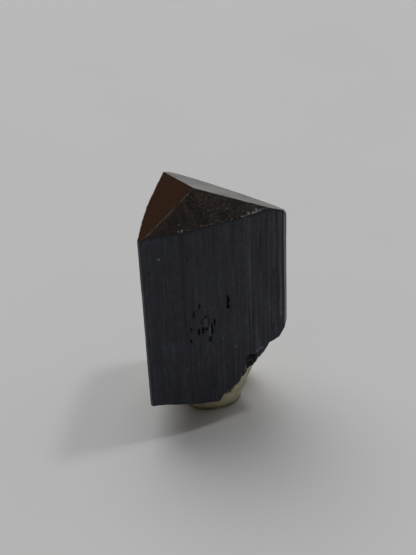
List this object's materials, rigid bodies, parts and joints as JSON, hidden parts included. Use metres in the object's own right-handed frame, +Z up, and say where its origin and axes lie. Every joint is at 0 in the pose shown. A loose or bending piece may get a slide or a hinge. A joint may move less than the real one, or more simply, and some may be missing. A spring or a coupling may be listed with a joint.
{
  "type": "tourmaline crystal",
  "caption": "Upright black tourmaline crystal with a flat-faced pointed top, striated sides and a rough broken base, set in a lump of mounting putty.",
  "frame": {"origin": "on the flat foot of the putty, under the centre of the object's bounding box", "axes": "+Z up along the crystal's long axis, -Y out of the crystal's widest side, which is its front"},
  "size_m": [0.0216, 0.0188, 0.036],
  "materials": {
    "schorl": "natural black mineral, dull glassy lustre, finely striated, brownish on the top faces",
    "putty": "matt cream modelling putty with soft dents"
  },
  "bodies": {
    "root": {"tourmaline_crystal": "schorl", "mounting_putty": "putty"}
  },
  "joints": []
}
